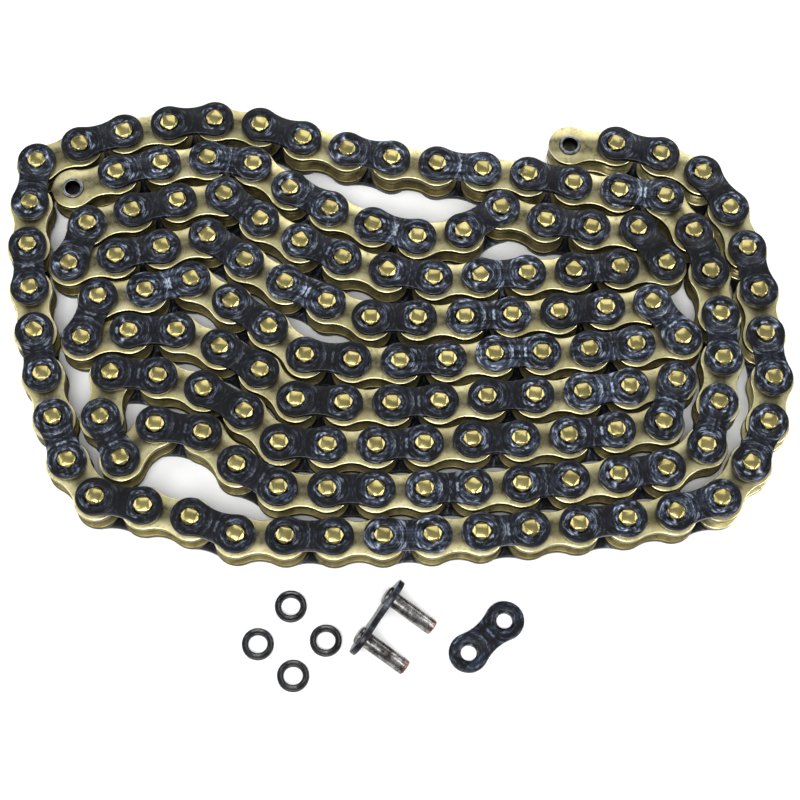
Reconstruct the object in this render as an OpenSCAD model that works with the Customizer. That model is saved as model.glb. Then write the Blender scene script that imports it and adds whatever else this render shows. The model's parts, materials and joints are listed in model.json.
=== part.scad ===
// Sealed roller chain for a motorcycle, laid on its side in a compact pack.
// One end of the strand is free to unroll, and the parts of its connecting link lie in front.
// Millimetres, +Z up. The pins stand upright, and everything rests on z = 0.
// The origin is at the bottom centre of the whole set.

/* [Pitch and rollers] */
// Distance from one pin to the next
pitch = 15.875; // [15:0.025:20]
// Clear width between a link's two inner plates
inner_w = 6.35; // [5:0.05:10]
// Outside diameter of a roller
roller_d = 10.16; // [9.4:0.02:11.2]

/* [Plates] */
// Thickness of every link plate
plate_t = 2; // [1.4:0.1:2.8]
// Gap between the round ends of one inner plate and the next
inner_gap = 1.075; // [1.05:0.025:3]
// How much further an inner plate's round ends reach than an outer plate's
outer_inset = 0.9; // [0.2:0.05:1.6]
// Depth of the hollow in each long side of an inner plate
inner_hollow = 1.85; // [0.6:0.05:2.6]
// Depth of the hollow in each long side of an outer plate
outer_hollow = 1.5; // [0.6:0.05:2.2]

/* [Pins and bushes] */
// Diameter of a pin
pin_d = 5.2; // [4:0.1:6.4]
// How far a pin's riveted head spreads past the pin
head_flare = 0.4; // [0.2:0.05:0.8]
// Height of a pin's head above the outer plate
head_h = 0.85; // [0.4:0.05:1.4]
// Wall of a bush
bush_wall = 0.99; // [0.7:0.01:1.3]
// How far a bush stands out of its inner plates
bush_proud = 0.6; // [0.2:0.05:0.8]

/* [Seals] */
// Gap between an inner and an outer plate, which the seal ring fills
seal_gap = 1.1; // [0.9:0.05:1.8]
// Outside diameter of a fitted seal ring, which is squeezed flat
seal_od = 11; // [9.8:0.1:12]
// Outside diameter of a loose seal ring
ring_od = 10.4; // [9:0.1:12]
// Thickness of a loose seal ring
ring_t = 2.1; // [1.2:0.1:2.6]

/* [Connecting link] */
// Length of a connecting pin past the outside of the cover plate
rivet_l = 1.4; // [0.6:0.1:2.4]
// How far a connecting pin's factory head spreads past the pin
rivet_flare = 0.7; // [0.5:0.05:1.2]
// Height of a connecting pin's factory head
rivet_head_h = 1.5; // [0.8:0.1:2.2]
// Shoulder that stops a connecting pin in its plate, where its seat is narrower than the pin
seat_step = 0.2; // [0.2:0.05:0.5]

/* [Running clearances] */
// Radial clearance between a pin and its bush
pin_clear = 0.06; // [0.02:0.01:0.1]
// Radial clearance between a bush and its roller
roller_clear = 0.05; // [0.02:0.01:0.1]
// Clearance at each end of a roller, and at each face of a seal
end_clear = 0.05; // [0.02:0.01:0.2]

/* [Hidden] */
// The lay, as runs of links: how many links, and the way the first and the last of them point.
// A run's links turn evenly from the first heading to the last. 0 points along +X, 90 along +Y.
// The free end is the outer strand, from the chain's first bush at the back to the front corner.
FREE_RUNS = [
    [3, 0, -25],
    [1, -55],
    [3, -70, -84],
    [4, -82, -129]
];
// The packed strand goes on round the outside: front, left side, back and right side.
OUTSIDE_RUNS = [
    [1, 199], [9, 190, 180], [2, 161, 168], [1, 171], [1, 130],
    [4, 112, 101], [3, 98, 87],
    [4, 26, 8], [1, -6], [3, -17, -10], [3, -6, -5], [3, -10, -6], [1, -53],
    [5, -70, -106], [1, 212]
];
// Then it folds back and forth inside that ring, one row behind another, to the other end.
FOLDED_RUNS = [
    [8, 190, 180], [2, 152, 138], [2, 172, 229], [2, 119, 83],
    [4, -2, -41], [4, -1, 7], [4, 3, 12], [1, 73],
    [4, 191, 184], [4, 188, 178], [3, 141, 160], [1, 183], [1, 191], [1, 74],
    [2, 10, 17], [3, -29, -38], [4, -4, 9], [4, 4, 11], [1, 129],
    [6, 189, 182], [4, 160, 147], [3, 197, 192], [1, 72],
    [3, 20, 11], [5, -35, -8], [5, 5, 7], [1, 127],
    [3, 181, 164], [2, 216, 190], [4, 166, 146], [1, 174], [3, 189, 201]
];

// The loose parts lie in front of the pack. Each place is in pitches, right of the pack's middle
// and in front of its edge.
RING_PLACES = [[-1.95, 0.76], [-2.58, 1.57], [-1.20, 1.45], [-1.83, 2.20]];
PIN_PLATE_PLACE = [-0.22, 0.98];
PIN_PLATE_HEADING = 58;
COVER_PLATE_PLACE = [2.08, 1.26];
COVER_PLATE_HEADING = 44;

$fn = 64;

// Outlines of the plates: a round end's diameter, and the width at the waist
inner_end_d = pitch - inner_gap;
inner_waist_w = inner_end_d - 2 * inner_hollow;
outer_end_d = inner_end_d - 2 * outer_inset;
outer_waist_w = outer_end_d - 2 * outer_hollow;

// Radii and heights that follow from the sizes above
pin_r = pin_d / 2;
head_r = pin_r + head_flare;
rivet_head_r = pin_r + rivet_flare;
seat_r = pin_r - seat_step;
bush_bore_r = pin_r + pin_clear;
bush_r = bush_bore_r + bush_wall;
roller_bore_r = bush_r + roller_clear;
inner_face = inner_w / 2;
inner_back = inner_face + plate_t;
outer_face = inner_back + seal_gap;
outer_back = outer_face + plate_t;
half_l = outer_back + head_h;
bevel = head_h / 2;
pin_chamfer = 0.5;

// A run's headings, one for each link, and every link's heading in order
function headings_of(runs) = [
    for (run = runs)
        for (i = [0 : run[0] - 1])
            run[0] == 1 ? run[1] : run[1] + (run[2] - run[1]) * i / (run[0] - 1)
];
headings = headings_of(concat(FREE_RUNS, OUTSIDE_RUNS, FOLDED_RUNS));
LINKS = len(headings);
FREE_LINKS = len(headings_of(FREE_RUNS));

// The pins in order, walked one pitch at a time. The first and last places are empty end bushes.
function step(i) = pitch * [cos(headings[i]), sin(headings[i])];
walked = [
    for (i = 0, p = [0, 0]; i <= LINKS; p = i < LINKS ? p + step(i) : p, i = i + 1) p
];

// The box of the pack, and the set's middle. The front ring reaches furthest forward.
pack_left = min([for (p = walked) p[0]]) - inner_end_d / 2;
pack_right = max([for (p = walked) p[0]]) + inner_end_d / 2;
pack_front = min([for (p = walked) p[1]]) - inner_end_d / 2;
pack_back = max([for (p = walked) p[1]]) + inner_end_d / 2;
set_front = pack_front - pitch * max([for (p = RING_PLACES) p[1]]) - ring_od / 2;
middle = [(pack_left + pack_right) / 2, (set_front + pack_back) / 2];
pins_at = [for (p = walked) p - middle];
function loose_at(place) = [pitch * place[0], pack_front - middle[1] - pitch * place[1]];

// Names of the free end's pieces, counted from 1 at the empty bush
function link_name(i, what) = str("link_", i < 9 ? "0" : "", i + 1, "_", what);

// ---- Shapes shared by the pieces ----

// A figure-of-eight plate: two round ends, and a bridge whose sides are hollowed to the waist.
// The hollows are a tenth tighter than arcs that would only touch the ends, so that they cross them.
module plate_outline(end_d, waist_w) {
    end_r = end_d / 2;
    waist = waist_w / 2;
    touching_r = (pitch * pitch / 4 + waist * waist - end_r * end_r) / (2 * (end_r - waist));
    hollow_r = 0.9 * touching_r;
    bridge = end_r * (waist + touching_r) / (end_r + touching_r);
    for (x = [0, pitch]) {
        translate([x, 0]) circle(end_r);
    }
    difference() {
        translate([0, -bridge]) square([pitch, 2 * bridge]);
        for (side = [-1, 1]) {
            translate([pitch / 2, side * (waist + hollow_r)]) circle(hollow_r);
        }
    }
}

// One plate, from its first hole at the origin to its second along +X
module plate(end_d, waist_w, hole_r) {
    linear_extrude(plate_t) {
        difference() {
            plate_outline(end_d, waist_w);
            for (x = [0, pitch]) {
                translate([x, 0]) circle(hole_r);
            }
        }
    }
}

module inner_plate() {
    plate(inner_end_d, inner_waist_w, bush_r);
}

module outer_plate() {
    plate(outer_end_d, outer_waist_w, pin_r);
}

// A tube standing on the origin
module tube(outer_r, bore_r, length) {
    difference() {
        cylinder(h = length, r = outer_r);
        translate([0, 0, -1]) cylinder(h = length + 2, r = bore_r);
    }
}

// A pin with a bevelled rivet head at each end, centred on the chain's middle plane
module pin() {
    rotate_extrude() {
        polygon([
            [0, -half_l], [head_r - bevel, -half_l], [head_r, bevel - half_l],
            [head_r, -outer_back], [pin_r, -outer_back],
            [pin_r, outer_back], [head_r, outer_back],
            [head_r, half_l - bevel], [head_r - bevel, half_l], [0, half_l]
        ]);
    }
}

module bush() {
    length = 2 * (inner_back + bush_proud);
    translate([0, 0, -length / 2]) tube(bush_r, bush_bore_r, length);
}

module roller() {
    length = inner_w - 2 * end_clear;
    translate([0, 0, -length / 2]) tube(roller_d / 2, roller_bore_r, length);
}

// A fitted seal, squeezed between the plates above the middle plane
module fitted_seal() {
    translate([0, 0, inner_back + end_clear]) {
        tube(seal_od / 2, bush_r + end_clear, seal_gap - 2 * end_clear);
    }
}

// ---- Places ----

// Children drawn at pin i, or along link i, at the height of the chain's middle plane
module at_pin(i) {
    translate([pins_at[i][0], pins_at[i][1], half_l]) children();
}

module along_link(i) {
    at_pin(i) rotate([0, 0, headings[i]]) children();
}

// Children drawn above the middle plane (side 1) or below it (side -1)
module on_side(side) {
    if (side > 0) {
        children();
    } else {
        mirror([0, 0, 1]) children();
    }
}

// ---- The packed strand, from the first fixed link to the far end ----

module packed_outer_plates(side) {
    color("#1b1c1f")
    for (i = [FREE_LINKS : 2 : LINKS - 1]) {
        along_link(i) on_side(side) translate([0, 0, outer_face]) outer_plate();
    }
}

module packed_inner_plates(side) {
    color("#b9a96b")
    for (i = [FREE_LINKS + 1 : 2 : LINKS - 1]) {
        along_link(i) on_side(side) translate([0, 0, inner_face]) inner_plate();
    }
}

module packed_pins() {
    color("#c9b35a")
    for (i = [FREE_LINKS : LINKS - 1]) {
        at_pin(i) pin();
    }
}

module packed_bushes() {
    color("#b4b4b0")
    for (i = [FREE_LINKS + 1 : LINKS]) {
        at_pin(i) bush();
    }
}

module packed_rollers() {
    color("#8f8c84")
    for (i = [FREE_LINKS + 1 : LINKS]) {
        at_pin(i) roller();
    }
}

module packed_seals(side) {
    color("#15161a")
    for (i = [FREE_LINKS : LINKS - 1]) {
        at_pin(i) on_side(side) fitted_seal();
    }
}

// ---- The free end's links, each of which turns on its pins ----

module link_inner_plates(i) {
    color("#b9a96b")
    for (side = [-1, 1]) {
        along_link(i) on_side(side) translate([0, 0, inner_face]) inner_plate();
    }
}

module link_outer_plates(i) {
    color("#1b1c1f")
    for (side = [-1, 1]) {
        along_link(i) on_side(side) translate([0, 0, outer_face]) outer_plate();
    }
}

module link_bushes(i) {
    color("#b4b4b0")
    for (end = [i, i + 1]) {
        at_pin(end) bush();
    }
}

module link_roller(end) {
    color("#8f8c84")
    at_pin(end) roller();
}

module link_pins(i) {
    color("#c9b35a")
    for (end = [i, i + 1]) {
        at_pin(end) pin();
    }
}

module link_seals(i) {
    color("#15161a")
    for (end = [i, i + 1]) {
        for (side = [-1, 1]) {
            at_pin(end) on_side(side) fitted_seal();
        }
    }
}

// ---- The connecting link's parts, lying loose ----

// The pin plate stands on its long edge and on the tips of its two pins, so it leans forward.
// In its own frame the plate lies flat, outside down, and the pins point up along +Z.
pin_tip = 2 * outer_back + rivet_l;
lean = atan((outer_end_d / 2 - pin_r) / (pin_tip - plate_t));
edge_height = outer_end_d / 2 * cos(lean) + plate_t * sin(lean);
module standing() {
    place = loose_at(PIN_PLATE_PLACE);
    translate([place[0], place[1], edge_height]) {
        rotate([0, 0, PIN_PLATE_HEADING]) rotate([90 + lean, 0, 0]) {
            translate([-pitch / 2, 0, 0]) children();
        }
    }
}

module connecting_plate() {
    color("#35332f")
    standing() plate(outer_end_d, outer_waist_w, seat_r);
}

module connecting_pins() {
    color("#3d3a35")
    standing()
    for (x = [0, pitch]) {
        translate([x, 0, 0]) rotate_extrude() {
            polygon([
                [0, -rivet_head_h], [0.62 * rivet_head_r, -rivet_head_h],
                [0.9 * rivet_head_r, -0.72 * rivet_head_h],
                [rivet_head_r, -0.3 * rivet_head_h], [rivet_head_r, 0],
                [seat_r, 0], [seat_r, plate_t], [pin_r, plate_t],
                [pin_r, pin_tip - pin_chamfer], [pin_r - pin_chamfer, pin_tip], [0, pin_tip]
            ]);
        }
    }
}

module cover_plate() {
    place = loose_at(COVER_PLATE_PLACE);
    color("#35332f")
    translate([place[0], place[1], 0]) rotate([0, 0, COVER_PLATE_HEADING]) {
        translate([-pitch / 2, 0, 0]) outer_plate();
    }
}

module seal_ring(number) {
    place = loose_at(RING_PLACES[number - 1]);
    color("#15161a")
    translate([place[0], place[1], ring_t / 2]) rotate_extrude() {
        translate([(ring_od - ring_t) / 2, 0]) circle(ring_t / 2);
    }
}

// ---- Each node is drawn on its own, or all of them together ----

packed_outer_plates(1);  // packed_outer_plates_upper
packed_outer_plates(-1);  // packed_outer_plates_lower
packed_inner_plates(1);  // packed_inner_plates_upper
packed_inner_plates(-1);  // packed_inner_plates_lower
packed_pins();
packed_bushes();
packed_rollers();
packed_seals(1);  // packed_seals_upper
packed_seals(-1);  // packed_seals_lower

for (i = [0 : 2 : FREE_LINKS - 1]) {
    link_inner_plates(i);
    link_bushes(i);
    link_roller(i);
    link_roller(i + 1);
}

for (i = [1 : 2 : FREE_LINKS - 1]) {
    link_outer_plates(i);
    link_pins(i);
    link_seals(i);
}

connecting_plate();
connecting_pins();
cover_plate();

for (number = [1 : 4]) {
    seal_ring(number);
}
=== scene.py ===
# %% [markdown]
# # A motorcycle's sealed roller chain, with its connecting link
#
# A roller chain is five small parts, made by the thousand and repeated along the strand. Two inner
# plates are pressed onto two bushes, with a roller loose on each bush. Two outer plates are pressed
# onto two pins, which turn inside the bushes. On a sealed chain a rubber ring sits round each bush,
# between the inner plate and the outer one, and keeps the grease in.
#
# This lesson models each part once, as well as it deserves, and then sets a copy of it wherever the
# engineering model has that part. So no part's place is typed in: each is read from the frame. Only
# the lights and the camera are placed by numbers.

# %% Load the frame and keep its size
import json
import math

import bmesh
import bpy
import numpy as np
from mathutils import Matrix, Vector


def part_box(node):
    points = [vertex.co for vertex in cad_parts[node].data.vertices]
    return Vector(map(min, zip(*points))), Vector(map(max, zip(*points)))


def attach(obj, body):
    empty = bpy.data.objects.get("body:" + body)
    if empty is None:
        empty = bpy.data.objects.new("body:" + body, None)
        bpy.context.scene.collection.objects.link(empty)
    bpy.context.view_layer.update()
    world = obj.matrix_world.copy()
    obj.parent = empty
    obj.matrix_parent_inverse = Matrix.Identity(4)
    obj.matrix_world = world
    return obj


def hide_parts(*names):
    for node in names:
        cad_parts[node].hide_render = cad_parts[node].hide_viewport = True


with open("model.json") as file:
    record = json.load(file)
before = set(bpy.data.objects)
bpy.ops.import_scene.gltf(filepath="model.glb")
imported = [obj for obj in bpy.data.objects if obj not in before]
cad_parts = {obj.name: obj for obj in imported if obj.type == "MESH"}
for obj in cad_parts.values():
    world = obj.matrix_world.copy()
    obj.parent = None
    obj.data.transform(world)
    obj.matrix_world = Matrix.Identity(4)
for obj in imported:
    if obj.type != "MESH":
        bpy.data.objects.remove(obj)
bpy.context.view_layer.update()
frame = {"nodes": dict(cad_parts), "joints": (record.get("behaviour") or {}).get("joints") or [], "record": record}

# %% [markdown]
# ## Sizes that every part shares
#
# A chain lives on its fits, so the looks use the same sizes as the engineering model: where the
# plates lie along the pins, how wide a bush is, how far a pin's head stands up. Each one is measured
# on a node's box. Typing the numbers in would be shorter, but it goes wrong as soon as the model
# changes. Everything is in metres, and a height is counted from the chain's middle plane.

# %% Measure the heights
MM = 0.001
low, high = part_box("packed_rollers")
MIDDLE = (low.z + high.z) / 2


def heights(node):
    """The node's lowest and highest height, from the chain's middle plane."""
    low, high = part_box(node)
    return low.z - MIDDLE, high.z - MIDDLE


INNER_FACE, INNER_BACK = heights("packed_inner_plates_upper")
OUTER_FACE, OUTER_BACK = heights("packed_outer_plates_upper")
SEAL_FACE, SEAL_BACK = heights("packed_seals_upper")
HEAD_TOP = heights("packed_pins")[1]
BUSH_TOP = heights("packed_bushes")[1]
ROLLER_TOP = heights("packed_rollers")[1]
PLATE_T = INNER_BACK - INNER_FACE
print("plates", round(PLATE_T / MM, 2), "mm thick, pins", round(2 * HEAD_TOP / MM, 2), "mm long")

# %% [markdown]
# A joint stands on every pin of the free end, so two joints one link apart give the pitch. The mounts
# give the bores. A node that holds two round solids is as wide as the distance between them and one
# diameter more, which gives the radius of each kind of round part.

# %% Measure the pitch and the round parts
joints = {joint["name"]: Vector(joint["pos_m"]) for joint in frame["joints"] if "pos_m" in joint}
mounts = {mount["name"]: mount for mount in frame["record"]["mounts"]}
pin_1, pin_2 = joints["pin_01_hinge"], joints["pin_02_hinge"]
free_bush = Vector(mounts["end_bush_free"]["pos_m"])
PITCH = (pin_2 - pin_1).length


def radius_in(node, first, second):
    """The radius of the two round solids in a node, which stand at two known points."""
    low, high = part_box(node)
    return (high.x - low.x - abs(first.x - second.x)) / 2


BUSH_BORE_R = mounts["end_bush_free"]["dims"]["r_mm"] * MM
PIN_R = mounts["connecting_pin_front"]["dims"]["r_mm"] * MM
BUSH_R = radius_in("link_01_bushes", free_bush, pin_1)
INNER_END_R = radius_in("link_01_inner_plates", free_bush, pin_1)
OUTER_END_R = radius_in("link_02_outer_plates", pin_1, pin_2)
HEAD_R = radius_in("link_02_pins", pin_1, pin_2)
SEAL_R = radius_in("link_02_seals", pin_1, pin_2)
ROLLER_R = radius_in("link_01_roller_a", pin_1, pin_1)
RING_R = radius_in("seal_ring_1", pin_1, pin_1)
RING_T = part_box("seal_ring_1")[1].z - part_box("seal_ring_1")[0].z
print("pitch", round(PITCH / MM, 3), "mm; in mm across: pin", round(2 * PIN_R / MM, 2), "head",
      round(2 * HEAD_R / MM, 2), "bush", round(2 * BUSH_R / MM, 2), "roller",
      round(2 * ROLLER_R / MM, 2), "seal", round(2 * SEAL_R / MM, 2))

# %% [markdown]
# The waist of a plate doesn't show in any box. A ray shot at the plate from its side, level with the
# middle of the bridge, stops where the hollow is deepest, and so measures the waist directly.

# %% Measure the two waists
def waist_of(node, first, second, height):
    """Half the width of a plate at its middle, by a ray from outside."""
    along = (second - first).normalized()
    across = Vector((-along.y, along.x, 0))
    centre = (first + second) / 2
    start = Vector((centre.x, centre.y, height)) + across * PITCH
    _, place, _, _ = frame["nodes"][node].ray_cast(start, -across)
    return PITCH - (place - start).length


INNER_WAIST = waist_of("link_01_inner_plates", free_bush, pin_1, MIDDLE + INNER_FACE + PLATE_T / 2)
OUTER_WAIST = waist_of("link_02_outer_plates", pin_1, pin_2, MIDDLE + OUTER_FACE + PLATE_T / 2)
print("waists", round(2 * INNER_WAIST / MM, 2), "and", round(2 * OUTER_WAIST / MM, 2), "mm")

# %% [markdown]
# ## Where every link lies
#
# Most of the strand is one body, so a node there holds dozens of separate plates. They can be told
# apart by walking from triangle to triangle through shared corners: what can't be reached that way is
# another solid. The walk is done on all corners at once, each taking the lowest number among its
# neighbours until nothing changes.

# %% Find the separate solids of a node
def solids(node):
    """The middle of each separate solid's box in a CAD node."""
    mesh = frame["nodes"][node].data
    points = np.empty(len(mesh.vertices) * 3)
    mesh.vertices.foreach_get("co", points)
    points = points.reshape(-1, 3)
    corners = np.empty(len(mesh.loops), np.int64)
    mesh.loops.foreach_get("vertex_index", corners)
    places, same = np.unique(np.round(points * 1e6), axis=0, return_inverse=True)
    triangles = same.reshape(-1)[corners].reshape(-1, 3)
    label = np.arange(len(places))
    while True:
        lower = label.copy()
        np.minimum.at(lower, triangles.ravel(), label[triangles].min(axis=1).repeat(3))
        lower = lower[lower]
        if (lower == label).all():
            break
        label = lower
    found = [places[label == number] * 1e-6 for number in np.unique(label)]
    return [Vector((part.min(axis=0) + part.max(axis=0)) / 2) for part in found]


plate_middles = solids("packed_outer_plates_upper")
print("packed outer links:", len(plate_middles))

# %% [markdown]
# A plate's middle says where it is but not which way it points. Its two pins do: of all the pins near
# it, they are the two that have the plate's middle exactly halfway between them. Inner plates find
# their two bushes in the same way. Each link is kept as the pair of points that it spans.

# %% Pair every plate with its two pins or bushes
def links_of(middles, stands):
    """Each link as its two end points, for plates with these middles on these pins or bushes."""
    stands = np.array([point[:2] for point in stands])
    links = []
    for middle in middles:
        near = stands - np.array(middle[:2])
        near = stands[np.abs(np.hypot(*near.T) - PITCH / 2) < 0.1 * MM]
        miss, first, second = min(
            (math.dist((a + b) / 2, middle[:2]), i, j)
            for i, a in enumerate(near)
            for j, b in enumerate(near)
            if i < j
        )
        assert miss < 0.05 * MM, miss
        links.append((Vector((*near[first], MIDDLE)), Vector((*near[second], MIDDLE))))
    return links


outer_links = {"packed": links_of(plate_middles, solids("packed_pins"))}
inner_links = {
    "packed": links_of(solids("packed_inner_plates_upper"), solids("packed_bushes"))
}
for number in range(1, 12):
    link = f"link_{number:02}"
    ends = "pins" if number % 2 == 0 else "bushes"
    first, second = sorted({(round(p.x, 6), round(p.y, 6)) for p in solids(f"{link}_{ends}")})
    pair = (Vector((*first, MIDDLE)), Vector((*second, MIDDLE)))
    (outer_links if number % 2 == 0 else inner_links)[link] = [pair]
print("outer links", sum(map(len, outer_links.values())), "inner links",
      sum(map(len, inner_links.values())))

# %% [markdown]
# ## One good copy of each part
#
# Every part of a chain can be drawn as a stack of closed outlines, joined by bands of faces: a
# lathe-turned pin is a stack of circles, and a plate with rounded edges is a stack of its own
# outline, drawn in a little where the edge rounds over. So one helper does all the joining. A part is
# kept as plain lists of points and faces, ready to be copied.

# %% Join outlines into a surface
def band(bm, lower, upper):
    """Faces between two rings of corners that run the same way round."""
    count = len(lower)
    for i in range(count):
        j = (i + 1) % count
        bm.faces.new((lower[i], lower[j], upper[j], upper[i]))


def stack(bm, outlines, closed=False):
    """Joins outlines, each a list of points, one after another. Closed joins the last to the first."""
    rings = [[bm.verts.new(point) for point in outline] for outline in outlines]
    for lower, upper in zip(rings, rings[1:] + rings[:1] if closed else rings[1:]):
        band(bm, lower, upper)
    return rings


def circle(radius, height, steps):
    """Points of a level circle round the origin."""
    turns = (2 * math.pi * i / steps for i in range(steps))
    return [(radius * math.cos(turn), radius * math.sin(turn), height) for turn in turns]


def finished(bm):
    """The shape's points, faces, and which faces are curved. Level faces are shaded flat."""
    bmesh.ops.recalc_face_normals(bm, faces=bm.faces)
    bm.verts.index_update()
    points = np.array([corner.co[:] for corner in bm.verts])
    faces = [tuple(corner.index for corner in face.verts) for face in bm.faces]
    curved = [abs(face.normal.z) < 0.999 for face in bm.faces]
    bm.free()
    print(len(points), "points,", len(faces), "faces")
    return points, faces, curved


# %% [markdown]
# ### Plates
#
# A link plate is blanked from strip steel and tumbled until its edges are round. Its outline is two
# round ends joined by hollowed sides, and where a hollow meets an end the two arcs are tangent. That
# makes the outline exact with a little geometry: the point of contact lies on the line between the
# two arcs' centres. Each point also gets the direction that faces outwards there, so that the
# rounding can move it inwards by the right amount. A subdivided block could be pushed into this
# shape too, but its holes and hollows would only be nearly round.

# %% Draw a plate's outline
END_STEPS, HOLLOW_STEPS, HOLE_STEPS = 28, 9, 28


def plate_outline(end_r, waist):
    """Points of the outline and their outward directions, round the plate's middle."""
    half = PITCH / 2
    hollow_r = (half**2 + waist**2 - end_r**2) / (2 * (end_r - waist))
    meet = math.atan2(waist + hollow_r, -half)
    sweep = math.atan2(half, waist + hollow_r) * (1 - 1 / HOLLOW_STEPS)
    outline = []
    for turn in (0, math.pi):
        spin = Matrix.Rotation(turn, 2)
        for angle in np.linspace(-meet, meet, END_STEPS):
            out = Vector((math.cos(angle), math.sin(angle)))
            outline.append((spin @ (Vector((half, 0)) + end_r * out), spin @ out))
        for angle in np.linspace(sweep, -sweep, HOLLOW_STEPS):
            out = Vector((-math.sin(angle), math.cos(angle)))
            outline.append((spin @ (Vector((0, waist + hollow_r)) - hollow_r * out), spin @ out))
    return outline


# %% [markdown]
# The rounding is a quarter circle at the top edge and at the bottom one. The holes of an inner plate
# have only a small chamfer, because the bush was pressed in from there. Those of an outer plate are
# dished as well, by the tool that struck the pin: the dish shows as a dark ring round each head. The
# flat faces are filled between the outline and the two holes.

# %% Make a plate
EDGE_ROUND = 0.38 * MM
CHAMFERED = [(0.15 * MM, 0), (0, 0.15 * MM), (0, PLATE_T - 0.15 * MM), (0.15 * MM, PLATE_T)]
DISHED = CHAMFERED[:2] + [
    (0, PLATE_T - 0.60 * MM), (HEAD_R - PIN_R + 0.10 * MM, PLATE_T - 0.42 * MM),
    (HEAD_R - PIN_R + 0.42 * MM, PLATE_T - 0.08 * MM), (HEAD_R - PIN_R + 0.60 * MM, PLATE_T),
]


def rounded_edge(thickness, radius, steps=3):
    """How far in and how high each outline of a plate lies, from its bottom face to its top."""
    angles = [math.pi / 2 * i / steps for i in range(steps, -1, -1)]
    lower = [(radius * (1 - math.cos(a)), radius * (1 - math.sin(a))) for a in angles]
    return lower + [(inset, thickness - height) for inset, height in reversed(lower)]


def plate(end_r, waist, hole_r, wall):
    """A plate from height 0 to its thickness, round its middle, with a hole at each end."""
    bm = bmesh.new()
    outline = plate_outline(end_r, waist)
    rings = stack(bm, [
        [(*(point - inset * out), height) for point, out in outline]
        for inset, height in rounded_edge(PLATE_T, EDGE_ROUND)
    ])
    rims = [[rings[0]], [rings[-1]]]
    for x in (-PITCH / 2, PITCH / 2):
        hole = stack(bm, [
            [(x + px, py, height) for px, py, _ in circle(hole_r + wider, 0, HOLE_STEPS)]
            for wider, height in wall
        ])
        rims[0].append(hole[0])
        rims[1].append(hole[-1])
    for face in rims:
        edges = [bm.edges.get((ring[i - 1], ring[i])) for ring in face for i in range(len(ring))]
        bmesh.ops.triangle_fill(bm, edges=edges, use_beauty=True)
    return finished(bm)


INNER_PLATE = plate(INNER_END_R, INNER_WAIST, BUSH_R, CHAMFERED)
OUTER_PLATE = plate(OUTER_END_R, OUTER_WAIST, PIN_R, DISHED)

# %% [markdown]
# ### Pins with staked heads
#
# A pin's end is riveted over by a punch with a square of four cutting edges. It pushes four sloping
# flats into the round head and leaves a squarish table in the middle, and the metal that it drives
# outwards grips the plate. A flat that slopes is simply a limit on the outline: at each height the
# circle may reach no further than a square whose side shrinks as the height grows. So the head is a
# stack of circles clipped by ever smaller squares.

# %% Make a pin
PIN_STEPS = 36
TABLE = 2.08 * MM


def clipped_circle(radius, reach, height):
    """A level circle whose four sides are cut off at a distance from its centre."""
    points = []
    for x, y, _ in circle(1, 0, PIN_STEPS):
        out = min(radius, reach / max(abs(x), abs(y)))
        points.append(out * Vector((x, y, 0)) + Vector((0, 0, height)))
    return points


def head_outlines():
    """The head above the outer plate, from its undercut neck to the table."""
    rise = HEAD_TOP - OUTER_BACK
    outlines = [circle(HEAD_R - 0.36 * MM, OUTER_BACK + 0.02 * MM, PIN_STEPS)]
    outlines.append(circle(HEAD_R - 0.08 * MM, OUTER_BACK + 0.10 * rise, PIN_STEPS))
    outlines.append(circle(HEAD_R, OUTER_BACK + 0.20 * rise, PIN_STEPS))
    for share in (0.26, 0.45, 0.65, 0.82, 0.94, 1.0):
        slope = (share - 0.26) / 0.74
        reach = HEAD_R + (TABLE - HEAD_R) * slope
        crown = HEAD_R - 0.42 * MM * slope**2.2
        outlines.append(clipped_circle(crown, reach, OUTER_BACK + share * rise))
    return outlines


def pin():
    """A whole pin through the chain, centred on the middle plane."""
    bm = bmesh.new()
    upper = head_outlines()
    lower = [[Vector((p[0], -p[1], -p[2])) for p in outline] for outline in reversed(upper)]
    shank = [circle(PIN_R, height, PIN_STEPS) for height in (-OUTER_BACK, OUTER_BACK)]
    flipped = [[outline[0]] + list(reversed(outline[1:])) for outline in lower]
    rings = stack(bm, flipped + shank + upper)
    bm.faces.new(rings[0])
    bm.faces.new(rings[-1])
    return finished(bm)


PIN = pin()

# %% [markdown]
# ### Bushes, rollers and the squeezed seals
#
# These are rings, so each is a closed profile carried once round: outer wall, top, bore, bottom. A
# bush is ground, with a small chamfer where it was pressed in. A roller has rounder edges, because
# sprocket teeth roll over them. A sealing ring has a section like a letter X, and between the plates
# it is squeezed until only a groove round its rim tells of that shape.

# %% Turn a closed profile into a ring
def ring(profile, steps):
    """A ring about the Z axis. The profile is a closed line of (radius, height) points."""
    bm = bmesh.new()
    stack(bm, [circle(radius, height, steps) for radius, height in profile], closed=True)
    return finished(bm)


def tube(outer, bore, top, edge):
    """A tube about the middle plane, with every edge taken off by a chamfer in two steps."""
    soft = 0.3 * edge
    quarter = [(outer, top - edge), (outer - soft, top - soft), (outer - edge, top)]
    quarter += [(bore + edge, top), (bore + soft, top - soft), (bore, top - edge)]
    return quarter + [(radius, -height) for radius, height in reversed(quarter)]


BUSH = ring(tube(BUSH_R, BUSH_BORE_R, BUSH_TOP, 0.22 * MM), 40)
ROLLER = ring(tube(ROLLER_R, BUSH_R + 0.05 * MM, ROLLER_TOP, 0.45 * MM), 36)


# %% [markdown]
# The X of a sealing ring is four lobes with a groove between each two. A circle whose radius dips
# four times on the way round draws just that, and stretching it to the space that the ring has in the
# engineering model gives the squeezed ring and the loose one from the same few lines.

# %% Make the sealing rings
GROOVE = 0.42


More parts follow.
